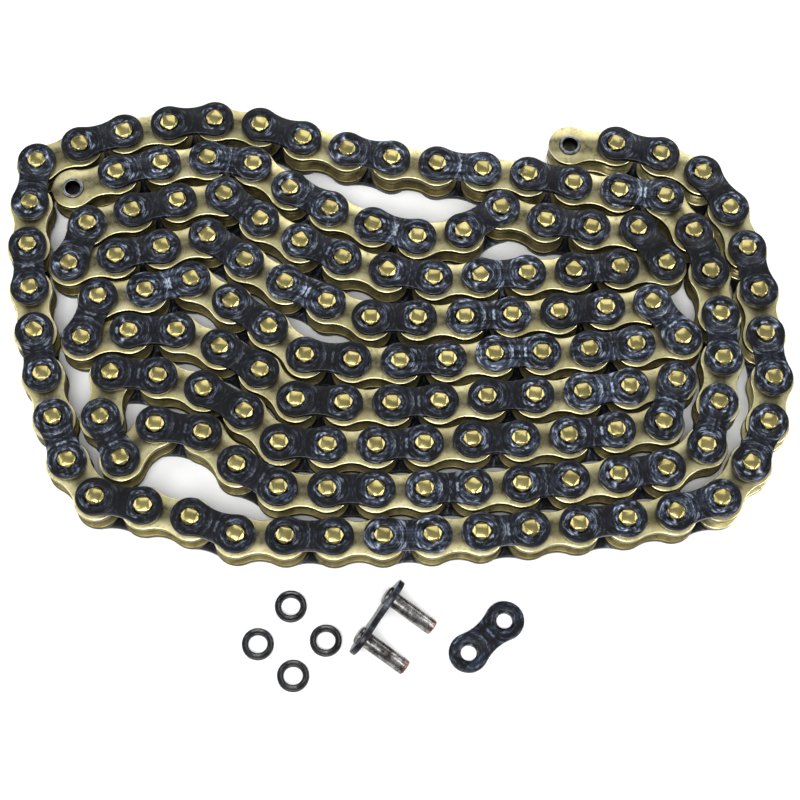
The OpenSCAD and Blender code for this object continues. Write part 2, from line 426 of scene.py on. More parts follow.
def lobes(middle_r, half_w, half_h, steps):
    """The section of a sealing ring: four lobes, at a distance from the ring's axis."""
    angles = [2 * math.pi * (i + 0.5) / steps for i in range(steps)]
    reach = [1 - GROOVE * math.cos(2 * angle) ** 2 for angle in angles]
    across = [r * math.cos(angle) for r, angle in zip(reach, angles)]
    up = [r * math.sin(angle) for r, angle in zip(reach, angles)]
    wide, tall = half_w / max(across), half_h / max(up)
    return [(middle_r + wide * x, tall * z) for x, z in zip(across, up)]


SEAL_BORE_R = BUSH_R + 0.05 * MM
SEAL_H = SEAL_BACK - SEAL_FACE
FITTED_SEAL = ring(lobes((SEAL_R + SEAL_BORE_R) / 2, (SEAL_R - SEAL_BORE_R) / 2, SEAL_H / 2, 16), 28)
LOOSE_RING = ring(lobes(RING_R - RING_T / 2, RING_T / 2, RING_T / 2, 40), 96)

# %% [markdown]
# ### The connecting link's pins
#
# The pins of the connecting link come riveted to one plate. Their factory heads are low domes, and
# their free tips are chamfered, with a dimple that guides the riveting tool. They stand at an angle on
# the floor, so how the whole link stands is read from the mounts of its two pins. The pin is turned
# from an open profile that starts and ends on its axis.

# %% Find how the pin plate stands
front, back = (mounts[f"connecting_pin_{end}"] for end in ("front", "back"))
pin_way = Vector(front["axis"]).normalized()
plate_way = (Vector(back["pos_m"]) - Vector(front["pos_m"])).normalized()
FREE_L = front["dims"]["length_mm"] * MM
STANDING = Matrix((plate_way, pin_way.cross(plate_way), pin_way)).transposed().to_4x4()
STANDING.translation = (
    (Vector(front["pos_m"]) + Vector(back["pos_m"])) / 2 - (FREE_L / 2 + PLATE_T) * pin_way
)


def probe(start, way):
    """How far a ray goes before it meets the connecting pins, in the pin plate's own frame."""
    spin = STANDING.to_3x3()
    _, place, _, _ = frame["nodes"]["connecting_pins"].ray_cast(
        STANDING @ Vector(start), spin @ Vector(way)
    )
    return (place - STANDING @ Vector(start)).length


TIP = 0.1 - probe((PITCH / 2, 0, 0.1), (0, 0, -1))
DOME_H = 0.1 - probe((PITCH / 2, 0, -0.1), (0, 0, 1))
DOME_R = 0.02 - probe((PITCH / 2 + 0.02, 0, -0.1 * DOME_H), (-1, 0, 0))
print("pin tip", round(TIP / MM, 2), "head", round(DOME_H / MM, 2), "by", round(2 * DOME_R / MM, 2))

# %% Turn a connecting pin
def connecting_pin():
    """A pin along Z. Its plate's outside face is at height 0, and its head lies below that."""
    dome = [(DOME_R * math.sin(a), -DOME_H * math.cos(a) ** 0.8)
            for a in np.linspace(0.16, 0.5 * math.pi - 0.12, 9)]
    dome += [(DOME_R, -0.10 * DOME_H), (DOME_R - 0.08 * MM, 0), (PIN_R, 0.02 * MM)]
    chamfer = 0.5 * MM
    shank = [(PIN_R, TIP - chamfer), (PIN_R - 0.14 * MM, TIP - 0.22 * MM), (PIN_R - chamfer, TIP)]
    dimple = [(1.25 * MM, TIP), (1.10 * MM, TIP - 0.10 * MM), (0.45 * MM, TIP - 0.42 * MM)]
    bm = bmesh.new()
    rings = stack(bm, [circle(radius, height, 48) for radius, height in dome + shank + dimple])
    bm.faces.new(rings[0])
    bm.faces.new(rings[-1])
    return finished(bm)


CONNECTING_PIN = connecting_pin()

# %% [markdown]
# ## Finishes
#
# A finish is built from nodes: a shader, and patterns that vary its colour, roughness and surface.
# Two helpers serve all of them. One turns the usual colour code into the linear values that
# light adds up in, and one adds a node with its settings and links.

# %% Colours and nodes
def colour(code):
    """A colour code such as #c0c0c0 as linear red, green and blue, with full alpha."""
    parts = [int(code[i:i + 2], 16) / 255 for i in (1, 3, 5)]
    linear = [p / 12.92 if p <= 0.04045 else ((p + 0.055) / 1.055) ** 2.4 for p in parts]
    return (*linear, 1.0)


def add(tree, kind, inputs=None, **settings):
    """A new node. Each input is a value, or another node's output to link."""
    new = tree.nodes.new(kind)
    for name, value in settings.items():
        setattr(new, name, value)
    for name, value in (inputs or {}).items():
        if isinstance(value, bpy.types.NodeSocket):
            tree.links.new(value, new.inputs[name])
        else:
            new.inputs[name].default_value = value
    return new


# %% [markdown]
# Every copied part carries two attributes: where each point lies in the part's own frame, and a
# number of its own. Patterns read both, so that grease lies round the pins of every plate, and yet no
# two plates are smeared alike. Coordinates of the whole scene couldn't do the first, and a pattern
# made once for the part couldn't do the second.

# %% Start a finish
def start(name):
    """An empty finish: its material, its tree, its shader, and the coordinates that patterns read."""
    material = bpy.data.materials.new(name)
    material.use_nodes = True
    tree = material.node_tree
    tree.nodes.clear()
    shader = add(tree, "ShaderNodeBsdfPrincipled")
    add(tree, "ShaderNodeOutputMaterial", {"Surface": shader.outputs["BSDF"]})
    own = add(tree, "ShaderNodeAttribute", attribute_name="own_place")
    number = add(tree, "ShaderNodeAttribute", attribute_name="own_number")
    apart = add(tree, "ShaderNodeVectorMath", {0: number.outputs["Vector"], 1: (0.7, 1.3, 0.4)},
                operation="MULTIPLY")
    varied = add(tree, "ShaderNodeVectorMath", {0: own.outputs["Vector"], 1: apart.outputs[0]},
                 operation="ADD")
    return material, tree, shader, own.outputs["Vector"], number.outputs["Fac"], varied.outputs[0]


def per_metre(size_mm):
    """A pattern's scale, from the size of its features in millimetres."""
    return 1000 / size_mm


# %% [markdown]
# ### Black oxide steel, greased
#
# The outer plates are blued: a bath of hot salts turns the surface to black iron oxide, which is dark
# and slightly rough, and holds a film of oil. The grease that the factory packs round the pins creeps
# out and is wiped about, which leaves bluish clouds, densest round the heads, and fine pale streaks
# that run round the pins, where the links have turned in it. The eye reads a dark satin sheet under
# a thin uneven film.
#
# The streaks need a noise that is stretched into arcs. Its place is therefore made of the direction
# from the nearest pin, which changes slowly, and the distance from it, which changes fast. Direction
# is kept as a vector of length one, because an angle would jump where a full turn starts again. The
# two ends of a plate are set apart by which side of its middle a point lies on.

# %% A place counted round the nearest pin
ARC_WIDTH = 0.95  # millimetres from one arc to the next
ARC_TURN = 1.7  # how fast an arc's pattern changes on the way round
END_APART = 3  # how far apart the two ends' patterns are read
PLATE_APART = 7.3  # and those of two plates


def around_pin(tree, own, number):
    """The distance from the nearest pin, and a place whose noise runs in arcs round it."""
    beside = add(tree, "ShaderNodeVectorMath", {0: own}, operation="ABSOLUTE")
    offset = add(tree, "ShaderNodeVectorMath", {0: beside.outputs[0], 1: (PITCH / 2, 0, 0)},
                 operation="SUBTRACT")
    level = add(tree, "ShaderNodeVectorMath", {0: offset.outputs[0], 1: (1, 1, 0)},
                operation="MULTIPLY")
    from_pin = add(tree, "ShaderNodeVectorMath", {0: level.outputs[0]}, operation="LENGTH")
    end = add(tree, "ShaderNodeVectorMath", {0: own, 1: (1e6, 0, 0)}, operation="MULTIPLY")
    end = add(tree, "ShaderNodeVectorMath", {0: end.outputs[0], 1: (-END_APART, 0, 0)},
              operation="MAXIMUM")
    end = add(tree, "ShaderNodeVectorMath", {0: end.outputs[0], 1: (END_APART, 0, 0)},
              operation="MINIMUM")
    way = add(tree, "ShaderNodeVectorMath", {0: level.outputs[0]}, operation="NORMALIZE")
    way = add(tree, "ShaderNodeVectorMath",
              {0: way.outputs[0], 1: (ARC_TURN, ARC_TURN, 0), 2: end.outputs[0]},
              operation="MULTIPLY_ADD")
    rings = add(tree, "ShaderNodeMath", {0: from_pin.outputs["Value"], 1: per_metre(ARC_WIDTH)},
                operation="MULTIPLY")
    outward = add(tree, "ShaderNodeMath", {0: number, 1: PLATE_APART, 2: rings.outputs[0]},
                  operation="MULTIPLY_ADD")
    outward = add(tree, "ShaderNodeCombineXYZ", {"Z": outward.outputs[0]})
    place = add(tree, "ShaderNodeVectorMath", {0: way.outputs[0], 1: outward.outputs[0]},
                operation="ADD")
    return from_pin.outputs["Value"], place.outputs[0]


# %% [markdown]
# Not every plate is equally greasy. A wide, slow noise over the whole set makes some stretches of the
# strand cleaner. Four plates in ten have been handled, some more than others, and are wiped along their
# whole length: a plate's own number says how much. Both are shares from 0 to 1.

# %% How greasy each plate is
def greasy_stretch(tree):
    """The share of grease on this stretch of the strand."""
    whole = add(tree, "ShaderNodeTexCoord")
    wide = add(tree, "ShaderNodeTexNoise", {
        "Vector": whole.outputs["Object"], "Scale": per_metre(60), "Detail": 1.5,
    })
    share = add(tree, "ShaderNodeMapRange", {
        "Value": wide.outputs["Fac"], "From Min": 0.38, "From Max": 0.60,
        "To Min": 0.28, "To Max": 1.0,
    })
    return share.outputs[0]


def handled_plate(tree, number):
    """The share to which this plate has been wiped over: 0 for most plates."""
    lot = add(tree, "ShaderNodeTexWhiteNoise", {"W": number}, noise_dimensions="1D")
    share = add(tree, "ShaderNodeMapRange", {
        "Value": lot.outputs["Value"], "From Min": 0.60, "From Max": 0.88,
    })
    return share.outputs[0]


# %% [markdown]
# The finish itself mixes three colours: bare oxide, the film of grease, and the crests of the streaks.
# The film is strongest at the head and fades over three millimetres. It has some thickness, so the
# pattern of streaks raises the surface a little, and it is glossier where it lies in folds.

# %% Black oxide steel, greased
FADE = 3.2 * MM


def black_oxide(name, base, cloud, streak, grease, spread):
    material, tree, shader, own, number, varied = start(name)
    from_pin, round_pin = around_pin(tree, own, number)
    handled = handled_plate(tree, number)
    near_pin = add(tree, "ShaderNodeMapRange", {
        "Value": from_pin, "From Min": HEAD_R + 0.2 * MM, "From Max": HEAD_R + FADE,
        "To Min": 1.0, "To Max": spread,
    }, interpolation_type="SMOOTHSTEP")
    reach = add(tree, "ShaderNodeMath", {0: handled, 1: 0.55}, operation="MULTIPLY")
    near_pin = add(tree, "ShaderNodeMath", {0: near_pin.outputs[0], 1: reach.outputs[0]},
                   operation="MAXIMUM")
    dirty = add(tree, "ShaderNodeMath", {0: greasy_stretch(tree), 1: handled}, operation="MAXIMUM")
    arcs = add(tree, "ShaderNodeTexNoise", {
        "Vector": round_pin, "Scale": 1.0, "Detail": 5.0, "Roughness": 0.66, "Distortion": 0.35,
    })
    folds = add(tree, "ShaderNodeTexNoise", {
        "Vector": varied, "Scale": per_metre(3.0), "Detail": 6.0, "Roughness": 0.72,
        "Distortion": 0.8,
    })
    along = add(tree, "ShaderNodeVectorMath", {0: varied, 1: (0.12, 1, 1)}, operation="MULTIPLY")
    wipes = add(tree, "ShaderNodeTexNoise", {
        "Vector": along.outputs[0], "Scale": per_metre(1.5), "Detail": 4.0, "Roughness": 0.62,
        "Distortion": 0.25,
    })
    patches = add(tree, "ShaderNodeMix", {
        "Factor": handled, 2: folds.outputs["Fac"], 3: wipes.outputs["Fac"],
    }, data_type="FLOAT")
    mixed = add(tree, "ShaderNodeMath", {0: arcs.outputs["Fac"], 1: patches.outputs[0]},
                operation="ADD")
    clouds = add(tree, "ShaderNodeMapRange", {
        "Value": mixed.outputs[0], "From Min": 0.92, "From Max": 1.24,
    })
    film = add(tree, "ShaderNodeMath", {0: clouds.outputs[0], 1: near_pin.outputs[0]},
               operation="MULTIPLY")
    film = add(tree, "ShaderNodeMath", {0: film.outputs[0], 1: dirty.outputs[0]},
               operation="MULTIPLY")
    film = add(tree, "ShaderNodeMath", {0: film.outputs[0], 1: grease}, operation="MULTIPLY",
               use_clamp=True)
    crest = add(tree, "ShaderNodeMapRange", {
        "Value": arcs.outputs["Fac"], "From Min": 0.54, "From Max": 0.82,
    })
    line = add(tree, "ShaderNodeMath", {0: crest.outputs[0], 1: film.outputs[0]},
               operation="MULTIPLY")
    line = add(tree, "ShaderNodeMath", {0: line.outputs[0], 1: 1.5}, operation="MULTIPLY",
               use_clamp=True)
    filmed = add(tree, "ShaderNodeMix", {
        "Factor": film.outputs[0], 6: colour(base), 7: colour(cloud),
    }, data_type="RGBA")
    streaked = add(tree, "ShaderNodeMix", {
        "Factor": line.outputs[0], 6: filmed.outputs[2], 7: colour(streak),
    }, data_type="RGBA")
    tree.links.new(streaked.outputs[2], shader.inputs["Base Color"])
    rough = add(tree, "ShaderNodeMapRange", {
        "Value": folds.outputs["Fac"], "From Min": 0.35, "From Max": 0.68,
        "To Min": 0.36, "To Max": 0.24,
    })
    tree.links.new(rough.outputs[0], shader.inputs["Roughness"])
    grain = add(tree, "ShaderNodeTexNoise", {
        "Vector": varied, "Scale": per_metre(0.5), "Detail": 2.0,
    })
    raised = add(tree, "ShaderNodeMath", {0: mixed.outputs[0], 1: 0.8, 2: grain.outputs["Fac"]},
                 operation="MULTIPLY_ADD")
    bump = add(tree, "ShaderNodeBump", {
        "Height": raised.outputs[0], "Strength": 0.2, "Distance": 0.03 * MM,
    })
    tree.links.new(bump.outputs[0], shader.inputs["Normal"])
    shader.inputs["IOR"].default_value = 1.45
    shader.inputs["Specular IOR Level"].default_value = 0.26
    return material


OUTER_FINISH = black_oxide(
    "black_oxide_steel_greased", base="#070708", cloud="#3b4252", streak="#b4bfd0", grease=1.85,
    spread=0.2)
COVER_FINISH = black_oxide(
    "black_oxide_steel_oiled", base="#0a0a0c", cloud="#2a303e", streak="#78849a", grease=1.2,
    spread=0.62)

# %% [markdown]
# ### Grime and painted shade on steep faces
#
# Steep faces are painted darker than level ones. Part of that is grease and tumbling dust, which stay
# on edge walls, in bores and on the flats of a struck head, and are rubbed off level faces. Part is
# painted shade: walls that stand in the shade between the rows, the dark inside a bore, and struck
# flats that reflect a dim room. How steep a face is comes from its normal: its height part is 1 on a
# level face and 0 on a wall.

# %% Grime and painted shade on steep faces
def grime_and_painted_shade(tree, clean, grime_and_shade, most, walls, level):
    """A colour that turns to grime and painted shade between a level face and a wall, both given by the normal."""
    surface = add(tree, "ShaderNodeNewGeometry")
    height = add(tree, "ShaderNodeVectorMath", {0: surface.outputs["Normal"], 1: (0, 0, 1)},
                 operation="DOT_PRODUCT")
    height = add(tree, "ShaderNodeMath", {0: height.outputs["Value"]}, operation="ABSOLUTE")
    share = add(tree, "ShaderNodeMapRange", {
        "Value": height.outputs[0], "From Min": walls, "From Max": level,
        "To Min": most, "To Max": 0.0,
    })
    # Painted shade: the steeper the face, the more it is mixed towards the dark colour.
    mixed = add(tree, "ShaderNodeMix", {
        "Factor": share.outputs[0], 6: clean, 7: colour(grime_and_shade),
    }, data_type="RGBA")
    return mixed.outputs[2]


# %% [markdown]
# ### Gold plating over blanked steel
#
# The inner plates are plated with a thin pale brass that is sold as gold. It follows the tumbled
# steel beneath, so it is satin and not bright, and grease dulls it. The middle of the face is painted
# a darker brown-grey, and so are the edge walls: grease and painted shade. The darkening wears off
# along the rounded rim, which shines. A plated metal reflects in its own colour, which a full metallic
# value gives, and its IOR stays as it is. The pin ends are plated alike and then struck by the
# riveting punch, which leaves them brighter, and no two alike, so each part's number also sets how
# light it is.

# %% Gold plating
# The middle of an inner plate's face is painted brown-grey: a film of grease, and painted shade. It thins out
# between these two distances from the plate's centre line.
FILM_AND_SHADE_FROM, FILM_AND_SHADE_TO = 1.2 * MM, 4.6 * MM  # where the film in the middle of a plate thins out
BROWN_FILM_AND_SHADE = "#625c49"


# The wall share and the dark stain colour paint grease and painted shade on steep faces; film sets how dark the
# middle of the face is painted.
def gold_plating(name, pale, deep, stain_and_shade, specked, wall, level, film, rough, blotch_mm, bump_mm):
    material, tree, shader, own, number, varied = start(name)
    blotch = add(tree, "ShaderNodeTexNoise", {
        "Vector": varied, "Scale": per_metre(blotch_mm), "Detail": 4.0, "Roughness": 0.6,
        "Distortion": 0.6,
    })
    tone = add(tree, "ShaderNodeMapRange", {
        "Value": blotch.outputs["Fac"], "From Min": 0.34, "From Max": 0.66,
    })
    plated = add(tree, "ShaderNodeMix", {
        "Factor": tone.outputs[0], 6: colour(pale), 7: colour(deep),
    }, data_type="RGBA")
    dirt = add(tree, "ShaderNodeTexNoise", {
        "Vector": varied, "Scale": per_metre(blotch_mm * 0.55), "Detail": 6.0, "Roughness": 0.7,
    })
    specks = add(tree, "ShaderNodeMapRange", {
        "Value": dirt.outputs["Fac"], "From Min": 0.56, "From Max": 0.72, "To Max": specked,
    })
    stained = add(tree, "ShaderNodeMix", {
        "Factor": specks.outputs[0], 6: plated.outputs[2], 7: colour(stain_and_shade),
    }, data_type="RGBA")
    across = add(tree, "ShaderNodeSeparateXYZ", {"Vector": own})
    off_line = add(tree, "ShaderNodeMath", {0: across.outputs["Y"]}, operation="ABSOLUTE")
    # Grease and painted shade: the middle of the face, along the plate, turns towards the brown-grey colour.
    middle = add(tree, "ShaderNodeMapRange", {
        "Value": off_line.outputs[0], "From Min": FILM_AND_SHADE_FROM, "From Max": FILM_AND_SHADE_TO,
        "To Min": film, "To Max": 0.0,
    }, interpolation_type="SMOOTHSTEP")
    patchy = add(tree, "ShaderNodeMath", {0: middle.outputs[0], 1: dirt.outputs["Fac"]},
                 operation="MULTIPLY")
    filmed = add(tree, "ShaderNodeMix", {
        "Factor": patchy.outputs[0], 6: stained.outputs[2], 7: colour(BROWN_FILM_AND_SHADE),
    }, data_type="RGBA")
    # Painted shade: edge walls and struck flats are mixed towards the dark stain colour.
    walled = grime_and_painted_shade(tree, filmed.outputs[2], stain_and_shade, most=wall, walls=level - 0.47, level=level)
    lot = add(tree, "ShaderNodeTexWhiteNoise", {"W": number}, noise_dimensions="1D")
    light = add(tree, "ShaderNodeMapRange", {
        "Value": lot.outputs["Value"], "To Min": 0.74, "To Max": 1.02,
    })
    shaded = add(tree, "ShaderNodeVectorMath", {0: walled, "Scale": light.outputs[0]},
                 operation="SCALE")
    tree.links.new(shaded.outputs[0], shader.inputs["Base Color"])
    shader.inputs["Metallic"].default_value = 1.0
    roughness = add(tree, "ShaderNodeMapRange", {
        "Value": dirt.outputs["Fac"], "From Min": 0.3, "From Max": 0.7,
        "To Min": rough[0], "To Max": rough[1],
    })
    tree.links.new(roughness.outputs[0], shader.inputs["Roughness"])
    grain = add(tree, "ShaderNodeTexNoise", {
        "Vector": varied, "Scale": per_metre(0.35), "Detail": 3.0,
    })
    bump = add(tree, "ShaderNodeBump", {
        "Height": grain.outputs["Fac"], "Strength": 0.3, "Distance": bump_mm * MM,
    })
    tree.links.new(bump.outputs[0], shader.inputs["Normal"])
    return material


# %% [markdown]
# Three mixes of it are needed. The lower inner plates lie in the grease that runs down the chain, and
# show only in the gaps between the rows, where shade falls, so theirs is darker: grease and painted
# shade. On a pin the steepness that counts is that of the struck flats, which are painted dark:
# painted shade.

# %% Plates and pin heads
INNER_FINISH = gold_plating(
    "gold_plated_steel_tumbled", pale="#ebe2b0", deep="#c8bc83", stain_and_shade="#463e2a", specked=0.8,
    wall=0.9, level=0.62, film=1.6, rough=(0.26, 0.42), blotch_mm=5.0, bump_mm=0.018)
# Painted shade and grease: darker colours for the lower inner plates, which show in the shaded gaps between the
# rows.
LOWER_SHADED_FINISH = gold_plating(
    "gold_plated_steel_oily_shaded", pale="#8a8058", deep="#5e5535", stain_and_shade="#241f14", specked=0.9,
    wall=0.92, level=0.80, film=0.8, rough=(0.34, 0.50), blotch_mm=5.0, bump_mm=0.018)
# Painted shade: the struck flats of each pin head are darkened towards its dark stain colour.
PIN_FINISH = gold_plating(
    "gold_plated_steel_struck", pale="#b9ac74", deep="#a99c60", stain_and_shade="#564b2a", specked=0.06,
    wall=0.95, level=0.98, film=0.0, rough=(0.23, 0.27), blotch_mm=4.0, bump_mm=0.003)

# %% [markdown]
# ### Ground steel
#
# Bushes and rollers are hardened and then ground on a wheel, which runs round them and leaves fine
# lines the same way. Rings of noise about the axis give those lines: the pattern is squeezed along
# the height of the part and hardly changes round it. They are drawn about half a millimetre apart,
# which is far coarser than a grinding wheel's, because finer ones wouldn't show. The rollers have
# already turned against the bushes in grease, so they are darker. A bush's bore is painted dark all
# the way down: grease, and painted shade inside the hole.

# %% Ground steel
# A bush's bore and walls are painted this dark: grease, and painted shade inside the hole.
BORE_GREASE_AND_SHADE = "#171512"


def ground_steel(name, clean, dull, wall, rough, line_mm):
    material, tree, shader, own, number, varied = start(name)
    fine = add(tree, "ShaderNodeVectorMath", {0: varied, 1: (1 / 12, 1 / 12, 1)},
               operation="MULTIPLY")
    lines = add(tree, "ShaderNodeTexNoise", {
        "Vector": fine.outputs[0], "Scale": per_metre(line_mm), "Detail": 3.0, "Roughness": 0.6,
    })
    smear = add(tree, "ShaderNodeTexNoise", {
        "Vector": varied, "Scale": per_metre(3.4), "Detail": 4.0, "Roughness": 0.6,
        "Distortion": 0.8,
    })
    dulled = add(tree, "ShaderNodeMapRange", {
        "Value": smear.outputs["Fac"], "From Min": 0.42, "From Max": 0.64,
    })
    tint = add(tree, "ShaderNodeMix", {
        "Factor": dulled.outputs[0], 6: colour(clean), 7: colour(dull),
    }, data_type="RGBA")
    # Painted shade: steep faces, such as a bush's bore, are darkened towards the bore colour.
    walled = grime_and_painted_shade(tree, tint.outputs[2], BORE_GREASE_AND_SHADE, most=wall, walls=0.2, level=0.7)
    tree.links.new(walled, shader.inputs["Base Color"])
    shader.inputs["Metallic"].default_value = 1.0
    roughness = add(tree, "ShaderNodeMapRange", {
        "Value": lines.outputs["Fac"], "From Min": 0.3, "From Max": 0.7,
        "To Min": rough[0], "To Max": rough[1],
    })
    tree.links.new(roughness.outputs[0], shader.inputs["Roughness"])
    bump = add(tree, "ShaderNodeBump", {
        "Height": lines.outputs["Fac"], "Strength": 0.4, "Distance": 0.02 * MM,
    })
    tree.links.new(bump.outputs[0], shader.inputs["Normal"])
    return material


BUSH_FINISH = ground_steel(
    "hardened_steel_ground", "#8f9092", "#55555a", wall=0.9, rough=(0.20, 0.36), line_mm=0.4)
ROLLER_FINISH = ground_steel(
    "hardened_steel_greased", "#a8a59c", "#4e4b44", wall=0.0, rough=(0.24, 0.44), line_mm=0.5)
RIVET_FINISH = ground_steel(
    "alloy_steel_dark_ground", "#868482", "#332e2c", wall=0.0, rough=(0.20, 0.36), line_mm=0.6)

# %% [markdown]
# The free tips of the connecting pins are softened with a flame or a coil, so that they can be riveted
# in the field. Heat leaves a faint copper tint on steel, so the last millimetre turns towards copper.

# %% Heat tint on the riveted tips
tree = RIVET_FINISH.node_tree
rivet_shader = tree.nodes["Principled BSDF"]
steel = rivet_shader.inputs["Base Color"].links[0].from_socket
height = add(tree, "ShaderNodeSeparateXYZ", {"Vector": tree.nodes["Attribute"].outputs["Vector"]})
tip = add(tree, "ShaderNodeMapRange", {
    "Value": height.outputs["Z"], "From Min": TIP - 1.4 * MM, "From Max": TIP - 0.3 * MM,
    "To Max": 0.6,
})
heated = add(tree, "ShaderNodeMix", {
    "Factor": tip.outputs[0], 6: steel, 7: colour("#8a5a4a"),
}, data_type="RGBA")
tree.links.new(heated.outputs[2], rivet_shader.inputs["Base Color"])

# %% [markdown]
# ### Greased rubber
#
# The sealing rings are moulded nitrile rubber, black with carbon, and come from a bath of grease. The
# rubber is dull, but the film over it is wet, so the ring glitters in short broken highlights. A low
# roughness under a lumpy surface breaks a highlight up in the same way.

# %% Greased rubber
def greased_rubber():
    material, tree, shader, own, number, varied = start("nitrile_rubber_greased")
    lumps = add(tree, "ShaderNodeTexNoise", {
        "Vector": varied, "Scale": per_metre(2.1), "Detail": 3.0, "Roughness": 0.5,
        "Distortion": 0.9,
    })
    film = add(tree, "ShaderNodeMapRange", {
        "Value": lumps.outputs["Fac"], "From Min": 0.58, "From Max": 0.72, "To Max": 0.3,
    })
    tint = add(tree, "ShaderNodeMix", {
        "Factor": film.outputs[0], 6: colour("#070709"), 7: colour("#4a5468"),
    }, data_type="RGBA")
    tree.links.new(tint.outputs[2], shader.inputs["Base Color"])
    rough = add(tree, "ShaderNodeMapRange", {
        "Value": lumps.outputs["Fac"], "From Min": 0.35, "From Max": 0.65,
        "To Min": 0.34, "To Max": 0.12,
    })
    tree.links.new(rough.outputs[0], shader.inputs["Roughness"])
    bump = add(tree, "ShaderNodeBump", {
        "Height": lumps.outputs["Fac"], "Strength": 0.5, "Distance": 0.14 * MM,
    })
    tree.links.new(bump.outputs[0], shader.inputs["Normal"])
    shader.inputs["IOR"].default_value = 1.52
    shader.inputs["Specular IOR Level"].default_value = 0.34
    return material


SEAL_FINISH = greased_rubber()
print("finishes:", len(bpy.data.materials))

# %% [markdown]
# ## Setting the copies in place
#
# A part's copies on one body are joined into one mesh, because a chain of a thousand separate objects
# is slow to work with and they never move apart. Linked duplicates would save memory, but the two
# attributes above have to differ from copy to copy. Each mesh stands for its CAD node, rides on the
# same body, and takes the finish that it is given.

# %% Copy a part to many places
copies_made = 0


def copied(name, batches, finish, body, node):
    """One piece from batches of (shape, places), each place a matrix. It replaces the CAD node."""
    global copies_made
    points, faces, curved, own, number = [], [], [], [], []
    for (shape_points, shape_faces, shape_curved), places in batches:
        for place in places:
            start_at = sum(map(len, points))
            spin = np.array(place.to_3x3())
            points.append(shape_points @ spin.T + np.array(place.translation))
            faces += [tuple(start_at + i for i in face) for face in shape_faces]
            curved += shape_curved
            own.append(shape_points)
            number.append(np.full(len(shape_points), copies_made * 0.618 % 1))
            copies_made += 1
    mesh = bpy.data.meshes.new(name)
    mesh.from_pydata(np.concatenate(points).tolist(), [], faces)
    mesh.polygons.foreach_set("use_smooth", curved)
    mesh.attributes.new("own_place", "FLOAT_VECTOR", "POINT")
    mesh.attributes["own_place"].data.foreach_set("vector", np.concatenate(own).ravel())
    mesh.attributes.new("own_number", "FLOAT", "POINT")
    mesh.attributes["own_number"].data.foreach_set("value", np.concatenate(number))
    mesh.set_sharp_from_angle(angle=math.radians(38))
    mesh.materials.append(finish)
    piece = bpy.data.objects.new(name, mesh)
    bpy.context.scene.collection.objects.link(piece)
    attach(piece, body)
    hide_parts(node)
    return piece


# %% [markdown]
# A link's parts are placed in the link's own frame: its middle at the origin, X along it, and the
# chain's middle plane at height 0. Plates below the middle plane are the same plates turned over, and
# not mirrored, as on the real chain.

# %% Frames of a link
def frame_of(link):
    """The frame of a link that spans two points."""
    first, second = link
    heading = math.atan2(second.y - first.y, second.x - first.x)
    return Matrix.Translation((first + second) / 2) @ Matrix.Rotation(heading, 4, "Z")


def plates(links, height, side):
    """Places of the plates above the middle plane (side 1) or below it (side -1)."""
    over = Matrix() if side > 0 else Matrix.Rotation(math.pi, 4, "X")
    return [frame_of(link) @ over @ Matrix.Translation((0, 0, height)) for link in links]


def at_ends(links, height=0.0, twist=None):
    """Places at both ends of each link, turned about the pin by a twist if one is given."""
    places = []
    for number, link in enumerate(links):
        for end, x in enumerate((-PITCH / 2, PITCH / 2)):
            turn = twist(2 * number + end) if twist else 0.0
            places.append(
                frame_of(link) @ Matrix.Translation((x, 0, height)) @ Matrix.Rotation(turn, 4, "Z")
            )
    return places


# %% [markdown]
# The riveting punch strikes square to the link, give or take a few degrees, and now and then a pin
# has turned in the tool before it was struck. A small twist for every head, and a large one for a few,
# keeps the rows of heads from looking printed.

# %% Twist of each pin's head
def struck(number):
    """The twist of a pin's head: within 14 degrees, and an eighth turn on every ninth pin."""
    wander = (number * 0.618 % 1 - 0.5) * math.radians(28)
    return wander + (math.pi / 4 if number % 9 == 4 else 0)


# %% The imported strand
# The lower inner plates take the darker finish: painted shade for the gaps between the rows, and grease.
strand = "packed_strand"
for side, which in ((1, "upper"), (-1, "lower")):
    copied(f"outer_plates_{which}", [(OUTER_PLATE, plates(outer_links["packed"], OUTER_FACE, side))],
           OUTER_FINISH, strand, f"packed_outer_plates_{which}")
    copied(f"inner_plates_{which}", [(INNER_PLATE, plates(inner_links["packed"], INNER_FACE, side))],
           INNER_FINISH if side > 0 else LOWER_SHADED_FINISH, strand,
           f"packed_inner_plates_{which}")
    seal_height = side * (SEAL_FACE + SEAL_BACK) / 2
    copied(f"seals_{which}", [(FITTED_SEAL, at_ends(outer_links["packed"], seal_height))],
           SEAL_FINISH, strand, f"packed_seals_{which}")
copied("pins", [(PIN, at_ends(outer_links["packed"], twist=struck))],
       PIN_FINISH, strand, "packed_pins")
copied("bushes", [(BUSH, at_ends(inner_links["packed"]))],
       BUSH_FINISH, strand, "packed_bushes")
copied("rollers", [(ROLLER, at_ends(inner_links["packed"]))],
       ROLLER_FINISH, strand, "packed_rollers")
print("copies so far:", copies_made)

# %% [markdown]
# The free end's links each move on their own, so their parts are pieces of their own too. Both plates
# of a link are one piece, and each roller is another, because it spins by itself.

# %% The free end
def near(points, target):
    """The one of these places that stands nearest to a target."""
    return min(points, key=lambda place: math.dist(place.translation[:2], target[:2]))


